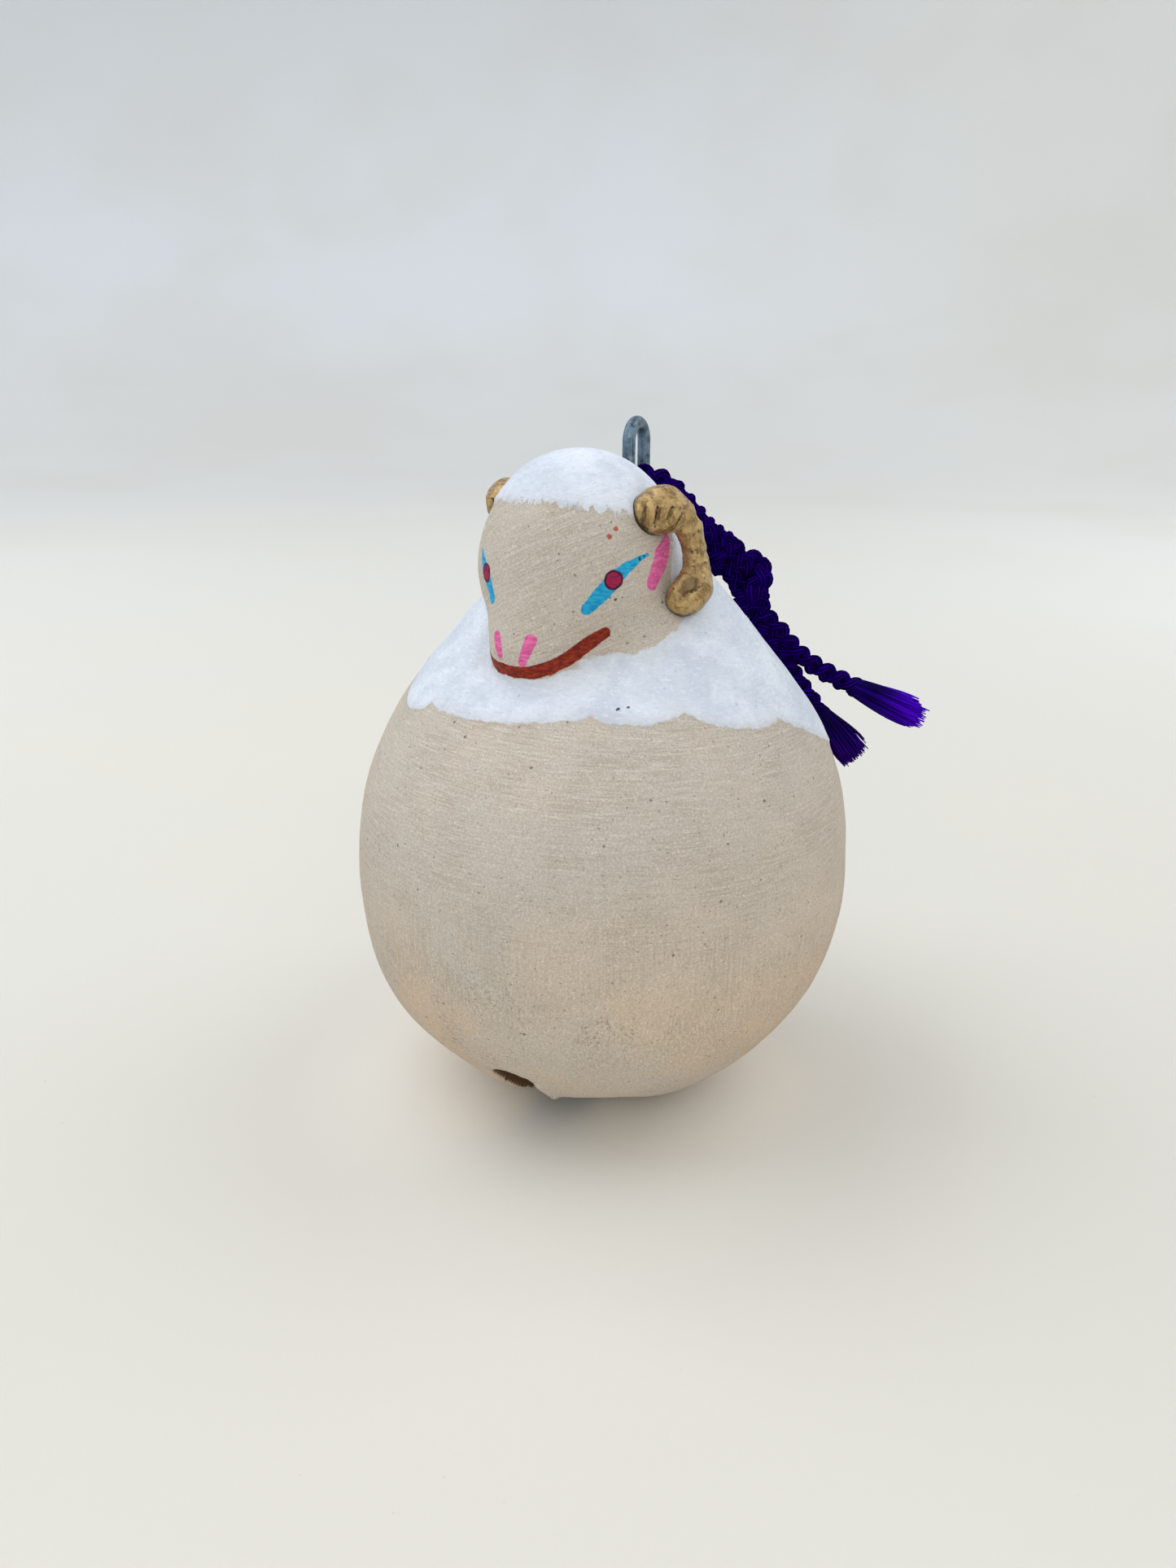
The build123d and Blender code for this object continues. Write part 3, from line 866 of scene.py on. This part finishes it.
# pressed grooves: from, to, half width
HORN_GROOVES = [((10.7, -7.6, 74.9), (10.3, -7.6, 71.6), 0.20),
                ((11.9, -6.8, 74.6), (11.6, -7.1, 71.4), 0.24),
                ((12.9, -5.9, 73.9), (12.3, -6.5, 71.3), 0.18),
                ((13.6, -4.6, 73.6), (12.9, -5.2, 71.6), 0.16),
                ((14.4, -3.9, 72.2), (13.9, -3.6, 70.7), 0.15),
                ((15.6, -4.4, 67.2), (14.8, -5.6, 66.0), 0.18),
                ((14.3, -6.3, 65.6), (15.3, -5.2, 63.6), 0.14)]
HORN_CUP = ((14.75, -5.55, 66.6), 1.7)
FAR_HORN_SHIFT = (0.45, 0.3, -0.55)


def horn_field(x, y, z):
    f = None
    for a, b in zip(HORN, HORN[1:]):
        d = rod(x, y, z, a[:3], b[:3], a[3], b[3])
        f = d if f is None else smin(f, d, 0.5)
    for cx, cy, cz, r in HORN_LUMPS:
        f = smin(f, np.sqrt((x - cx) ** 2 + (y - cy) ** 2 + (z - cz) ** 2) - r, 0.7)
    (cx, cy, cz), r = HORN_CUP
    f = smax(f, -(np.sqrt((x - cx) ** 2 + (y - cy) ** 2 + (z - cz) ** 2) - r), 0.6)
    for a, b, r in HORN_GROOVES:
        f = smax(f, -rod(x, y, z, a, b, r, r), 0.35)
    return np.maximum(f, -(outer(x, y, z) + 0.45))


hv, hf = surface_net(horn_field, (6.5, -9.5, 60.5), (17.5, 1.5, 78.0), 0.2)
hn = unit_normals(horn_field, hv)
crease = ripple(hv, 21, 3.2, 4)
gnarl = -np.abs(crease) * 0.24 + 0.08 + 0.03 * ripple(hv, 22, 1.1, 3)
free = np.clip((outer(*hv.T) - 0.1) / 0.6, 0, 1)
plain = None
for a, b in zip(HORN, HORN[1:]):
    d = rod(*hv.T, a[:3], b[:3], a[3], b[3])
    plain = d if plain is None else np.minimum(plain, d)
for cx, cy, cz, r in HORN_LUMPS:
    plain = np.minimum(plain, np.sqrt(((hv - (cx, cy, cz)) ** 2).sum(1)) - r)
# painted shade, carried to the gold as an attribute: darker in the pressed cup and grooves, along
# the creases, and where the horn meets the head
crease_shade = (np.clip(-plain - 0.02, 0, 0.22) * 1.15 + np.clip(0.07 - np.abs(crease), 0, 0.07) * 6
        + np.clip(0.9 - outer(*hv.T), 0, 0.9) * 0.55)
hv = hv + hn * (gnarl * free * 0.8)[:, None]


def gold_material():
    m = Nodes("gold_clay", Metallic=0.45, Specular_IOR_Level=0.6)
    cut = m.attribute("crease_shade")
    p = m.pos
    mottled = m.noise(p, 0.8, 4.0, 0.65, 0.4)
    fine = m.noise(p, 3.5, 3.0, 0.65)
    gold = m.mix(m.step(mottled, 0.36, 0.64), rgb(134, 104, 58), rgb(190, 159, 105))
    # painted highlights: pale gold glints where the fine noise is high, in place of reflections
    gold = m.mix(m.step(fine, 0.52, 0.70, 0.0, 0.4), gold, rgb(230, 206, 154))
    # painted shade in the hollows and creases, with dark blotches at random
    shade_and_blotches = m.math("MAXIMUM", m.step(cut, 0.06, 0.40),
                  m.math("MULTIPLY", m.step(m.noise(p, 0.5, 4.0, 0.72, 1.0), 0.54, 0.66), 0.45))
    gold = m.mix(shade_and_blotches, gold, rgb(58, 44, 24))
    gold = m.mix(m.step(m.noise(p, 6.0, 2.0, 0.5), 0.68, 0.74, 0.0, 0.45), gold, rgb(52, 40, 24))
    rough = m.step(mottled, 0.35, 0.65, 0.20, 0.42)
    return m.finish(gold, rough, m.math("ADD", m.math("MULTIPLY", mottled, 0.7),
                                        m.math("MULTIPLY", fine, 0.35)), 0.9, 0.00016)


GOLD = gold_material()
for side, shift, name, node in ((1, (0, 0, 0), "horn_left_gilt", "horn_left"),
                                (-1, FAR_HORN_SHIFT, "horn_right_gilt", "horn_right")):
    v = hv * np.array((side, 1, 1)) + np.array(shift)
    horn = put(mesh_object(name, v, hf if side == 1 else hf[:, ::-1],
                           attributes={"crease_shade": crease_shade}), GOLD)
    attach(horn, "bell")
    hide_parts(node)


# ------------------------------------------------------------------ wire eye and pellet
def wire_material():
    m = Nodes("galvanised_wire", Metallic=0.72)
    p = m.pos
    cloud = m.noise(p, 0.7, 4.0, 0.65, 0.3)
    drawn = m.noise(m.vec("MULTIPLY", p, (6.0, 6.0, 0.6)), 1.0, 3.0, 0.6)
    c = m.mix(m.step(cloud, 0.35, 0.62), rgb(66, 86, 102), rgb(118, 140, 156))
    c = m.mix(m.step(drawn, 0.55, 0.75, 0.0, 0.45), c, rgb(182, 194, 200))
    c = m.mix(m.step(m.noise(p, 0.9, 4.0, 0.7, 1.2), 0.60, 0.68, 0.0, 0.8), c, rgb(36, 48, 58))
    return m.finish(c, m.step(cloud, 0.3, 0.7, 0.34, 0.55),
                    m.math("ADD", cloud, m.math("MULTIPLY", drawn, 0.4)), 0.5, 0.00012)


put(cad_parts["wire_eye"], wire_material())


PELLET_Z, PELLET_R, PELLET_ROOM = 8.8, 4.86, 5.6


def pellet_field(x, y, z):
    return np.sqrt(x * x + y * y + (z - PELLET_Z) ** 2) - PELLET_R


pv, pf = surface_net(pellet_field, (-PELLET_ROOM, -PELLET_ROOM, 3.2),
                     (PELLET_ROOM, PELLET_ROOM, 14.4), 0.4)
pn = (pv - (0, 0, PELLET_Z)) / PELLET_R
pv = pv + pn * (0.13 * ripple(pv, 31, 5.0, 3))[:, None]
pellet = mesh_object("rolled_pellet", pv, pf)
m = Nodes("bare_clay", Roughness=0.95, Specular_IOR_Level=0.2)
g1, g2 = m.noise(m.pos, 1.6, 4.0, 0.7), m.noise(m.pos, 0.35, 3.0, 0.5)
pellet_c = m.mix(m.step(g2, 0.4, 0.65), rgb(150, 104, 74), rgb(184, 136, 100))
pellet_c = m.mix(m.step(g1, 0.55, 0.7, 0.0, 0.5), pellet_c, rgb(206, 168, 132))
put(pellet, m.finish(pellet_c, m.step(g1, 0.3, 0.7, 0.85, 0.98), g1, 0.8, 0.0002))
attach(pellet, "pellet")
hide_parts("clay_pellet")

# ------------------------------------------------------------------ floor, light
# the paper: flat round the object, then curving up all round; radius and height in metres
away = Vector((-math.sin(AZ), math.cos(AZ), 0))
across = Vector((math.cos(AZ), math.sin(AZ), 0))
profile = [(0.05, 0.0), (0.2, 0.0), (0.45, 0.0), (0.70, 0.0), (0.80, 0.004), (0.90, 0.025),
           (1.00, 0.07), (1.08, 0.135), (1.145, 0.22), (1.185, 0.32), (1.205, 0.46),
           (1.21, 0.70), (1.21, 1.05)]
turns = 72
fv, ff = [(0.0, 0.0, 0.0)], []
for r, h in profile:
    for k in range(turns):
        a = 2 * math.pi * k / turns
        fv.append((r * math.cos(a) / MM, r * math.sin(a) / MM, h / MM))
for k in range(turns):
    ff.append([0, 1 + k, 1 + (k + 1) % turns])
for i in range(len(profile) - 1):
    for k in range(turns):
        n = (k + 1) % turns
        low, high = 1 + i * turns, 1 + (i + 1) * turns
        ff.append([low + k, high + k, high + n, low + n])
floor = mesh_object("paper_sweep", fv, ff)
m = Nodes("paper", Roughness=0.95, Specular_IOR_Level=0.15)
depth = m.vec("DOT_PRODUCT", m.pos, tuple(away))
side_way = m.vec("DOT_PRODUCT", m.pos, tuple(across))
px, py, height = m.split(m.pos)
reach = m.math("SQRT", m.math("ADD", m.math("MULTIPLY", px, px), m.math("MULTIPLY", py, py)))
paper = m.mix(m.step(reach, 60, 900), rgb(219, 217, 210), rgb(240, 241, 239))
paper = m.mix(m.step(height, 5, 150), paper, rgb(246, 250, 254))
paper = m.mix(m.step(height, 150, 480), paper, rgb(236, 239, 242))
# painted light: the paper is lighter within about 45 mm of the object, which lightens its contact
# shadow
paper = m.mix(m.step(reach, 45, 18), paper, rgb(240, 237, 230))
# painted light: the paper is lighter towards the right and far back, where the wall is in shade
corner = m.math("MULTIPLY", m.step(side_way, 20, 420), m.step(depth, 20, 300))
paper = m.mix(corner, paper, rgb(244, 245, 242))
clouds = m.step(m.noise(m.pos, 0.006, 2.0, 0.5), 0.4, 0.7, 0.0, 0.2)
paper = m.mix(clouds, paper, rgb(228, 222, 207))
flecks = m.step(m.noise(m.pos, 0.9, 2.0, 0.5), 0.76, 0.80, 0.0, 0.3)
paper = m.mix(flecks, paper, rgb(170, 165, 156))
put(floor, m.finish(paper, 0.95, m.noise(m.pos, 1.6, 3.0, 0.6), 0.15, 0.0001))


def area(name, location, aim, size, power, color):
    data = bpy.data.lights.new(name, "AREA")
    data.shape, data.size, data.energy, data.color = "SQUARE", size, power, color
    ob = bpy.data.objects.new(name, data)
    ob.location = location
    ob.rotation_mode = "QUATERNION"
    ob.rotation_quaternion = (Vector(aim) - Vector(location)).to_track_quat("-Z", "Y")
    ob.visible_camera = False
    scene.collection.objects.link(ob)


area("window", (-0.31, -0.13, 0.61), (0, 0, 0.03), 0.66, 2.58, (0.945, 0.972, 1.0))
area("fill", (0.55, -0.65, 0.45), (0, 0, 0.04), 0.9, 2.15, (1.0, 0.94, 0.85))
area("rear", (0.30, 0.42, 0.55), (0, 0.05, 0.04), 0.5, 1.1, (1.0, 0.98, 0.94))
world = bpy.data.worlds.new("room")
world.use_nodes = True
sky = world.node_tree.nodes["Background"]
sky.inputs["Color"].default_value = (0.93, 0.955, 1.0, 1.0)
sky.inputs["Strength"].default_value = 0.62
scene.world = world
